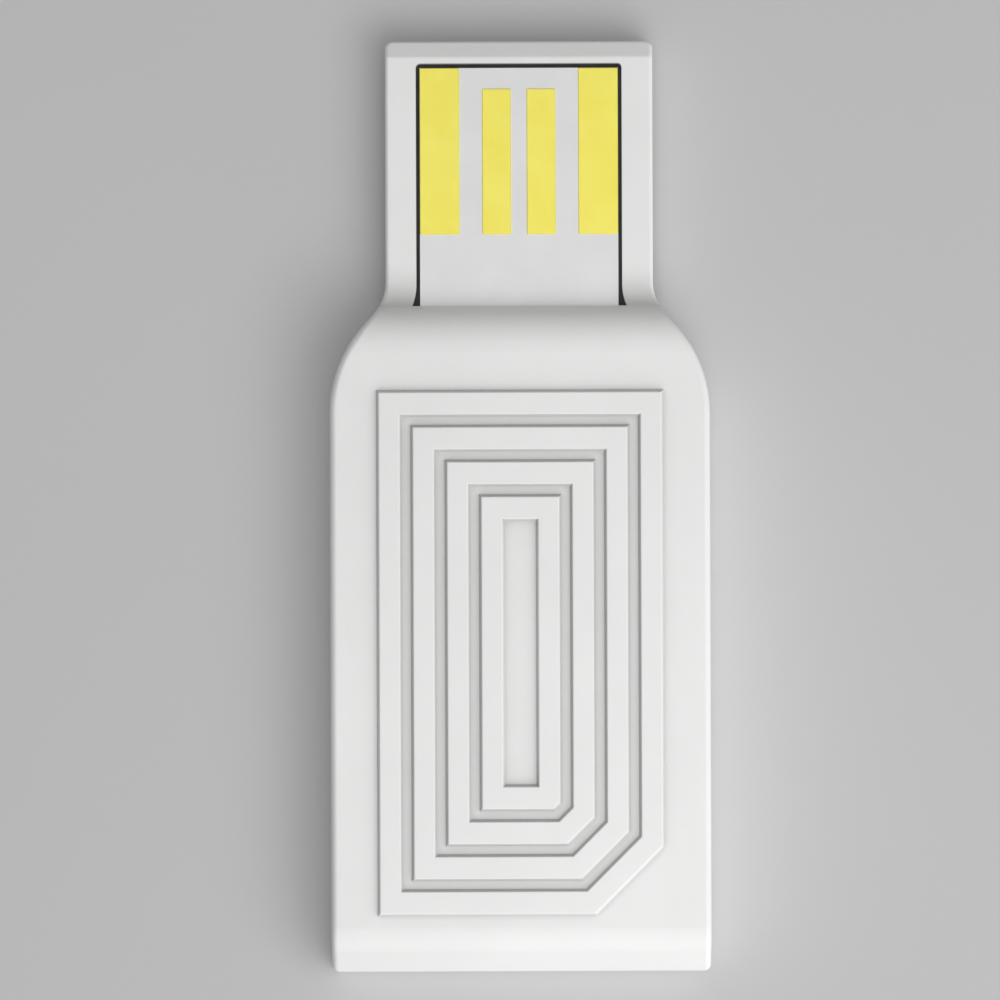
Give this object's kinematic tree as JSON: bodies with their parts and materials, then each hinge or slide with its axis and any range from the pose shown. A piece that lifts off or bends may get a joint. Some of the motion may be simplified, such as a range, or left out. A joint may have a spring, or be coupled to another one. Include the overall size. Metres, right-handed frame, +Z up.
{
  "type": "usb wifi adapter",
  "caption": "Slim moulded USB wifi adapter: a board-type plug with flat contacts in a frame, rounded shoulders, a raised pattern of nested ridges on the body and a slanted far end.",
  "frame": {"origin": "middle of the stick's length and width, on the plane of its flat underside", "axes": "+Y along the stick towards the tip of the USB plug, +X to the right seen from the ridged side, +Z up out of the ridged side"},
  "size_m": [0.017, 0.0418, 0.005],
  "materials": {
    "white_plastic": "satin moulded",
    "solder_mask": "satin",
    "contact_gold": "satin",
    "black_tape": "matt",
    "shield_metal": "brushed",
    "chip_plastic": "matt",
    "tinned_metal": "satin",
    "crystal_ceramic": "matt",
    "capacitor_ceramic": "matt",
    "resistor_body": "satin",
    "ferrite": "matt",
    "fuse_body": "satin",
    "copper": "satin"
  },
  "bodies": {
    "root": {"upper_housing": "white_plastic", "lower_housing": "white_plastic", "circuit_board": "solder_mask", "vbus_contact": "contact_gold", "data_minus_contact": "contact_gold", "data_plus_contact": "contact_gold", "ground_contact": "contact_gold", "test_points": "contact_gold", "tongue_tape": "black_tape", "shield_frame": "shield_metal", "shield_cover": "shield_metal", "crystal_lid": "shield_metal", "wifi_chip": "chip_plastic", "voltage_regulator": "chip_plastic", "esd_protector": "chip_plastic", "memory_chip": "chip_plastic", "wifi_chip_pads": "tinned_metal", "regulator_leads": "tinned_metal", "esd_protector_leads": "tinned_metal", "memory_chip_leads": "tinned_metal", "inductor_terminals": "tinned_metal", "fuse_terminals": "tinned_metal", "capacitor_terminals": "tinned_metal", "resistor_terminals": "tinned_metal", "crystal_base": "crystal_ceramic", "ceramic_capacitors": "capacitor_ceramic", "chip_resistors": "resistor_body", "power_inductor": "ferrite", "power_fuse": "fuse_body", "antenna_trace": "copper"}
  },
  "joints": []
}
